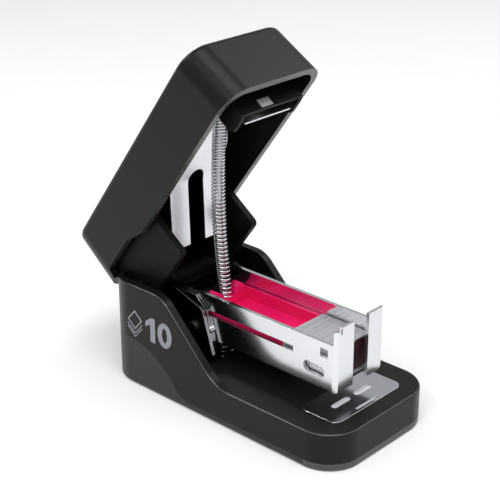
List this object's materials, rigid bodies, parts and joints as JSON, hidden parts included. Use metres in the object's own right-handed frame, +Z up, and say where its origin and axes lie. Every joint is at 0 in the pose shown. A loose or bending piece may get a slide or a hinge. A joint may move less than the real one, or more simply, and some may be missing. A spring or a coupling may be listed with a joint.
{
  "type": "stapler",
  "caption": "Mini desktop stapler with its cover lifted for loading: slanted charcoal base and cover, steel staple magazine with a strip of staples, red pusher and follower spring.",
  "frame": {"origin": "on the desk, under the centre of the base's underside", "axes": "+Z up, +X towards the anvil end, +Y to the stapler's left seen from behind"},
  "size_m": [0.0747, 0.0319, 0.075],
  "materials": {
    "shell_plastic": "charcoal, satin moulded",
    "sole_plastic": "dark grey, satin moulded",
    "inner_plastic": "black, satin moulded",
    "mark_paint": "light grey printed mark",
    "pusher_plastic": "crimson, glossy moulded",
    "core_plastic": "maroon, glossy moulded",
    "magazine_steel": "bright nickel-plated steel",
    "leaf_steel": "bright spring steel",
    "spring_steel": "bright spring wire",
    "staple_wire": "galvanised wire",
    "anvil_steel": "dark polished steel",
    "dark_steel": "black steel with bright cut edges",
    "pin_steel": "bright steel",
    "screw_steel": "zinc-plated steel"
  },
  "bodies": {
    "base": {"base_shell": "shell_plastic", "base_sole": "sole_plastic", "sole_screws": "screw_steel", "anvil_plate": "anvil_steel", "sheet_icon": "mark_paint", "capacity_mark": "mark_paint", "hinge_pin": "pin_steel", "hinge_bracket": "dark_steel", "bracket_screws": "screw_steel", "stop_studs": "pin_steel", "hinge_washers": "inner_plastic", "magazine_return_spring": "spring_steel"},
    "magazine": {"magazine_channel": "magazine_steel", "magazine_yoke": "magazine_steel", "yoke_rivets": "pin_steel", "magazine_bush": "inner_plastic", "staple_core": "core_plastic", "core_pins": "pin_steel", "staple_strip": "staple_wire"},
    "pusher": {"pusher_tray": "pusher_plastic", "spring_peg": "pin_steel"},
    "cover": {"cover_shell": "shell_plastic", "inner_frame": "inner_plastic", "frame_screws": "screw_steel", "leaf_spring": "leaf_steel", "leaf_rivets": "pin_steel", "driver_blade": "leaf_steel", "driver_holder": "inner_plastic", "holder_screws": "screw_steel", "spring_anchor": "pin_steel", "follower_spring": "spring_steel"}
  },
  "joints": [
    {"name": "magazine_hinge", "type": "hinge", "parent": "base", "child": "magazine", "pos_m": [-0.025, 0, 0.0195], "axis": [0, 1, 0], "range_deg": [0, 4.4], "stiffness_Nm_per_rad": 1.5, "springref_deg": -1.89, "deforming": ["magazine_return_spring"]},
    {"name": "cover_hinge", "type": "hinge", "parent": "magazine", "child": "cover", "pos_m": [-0.025, 0, 0.0195], "axis": [0, 1, 0], "range_deg": [0, 66.6], "deforming": ["leaf_spring", "follower_spring"]},
    {"name": "pusher_slide", "type": "slide", "parent": "magazine", "child": "pusher", "axis": [1, 0, 0], "range_m": [-0.008, 0], "stiffness_N_per_m": 50, "springref_m": 0.01}
  ]
}
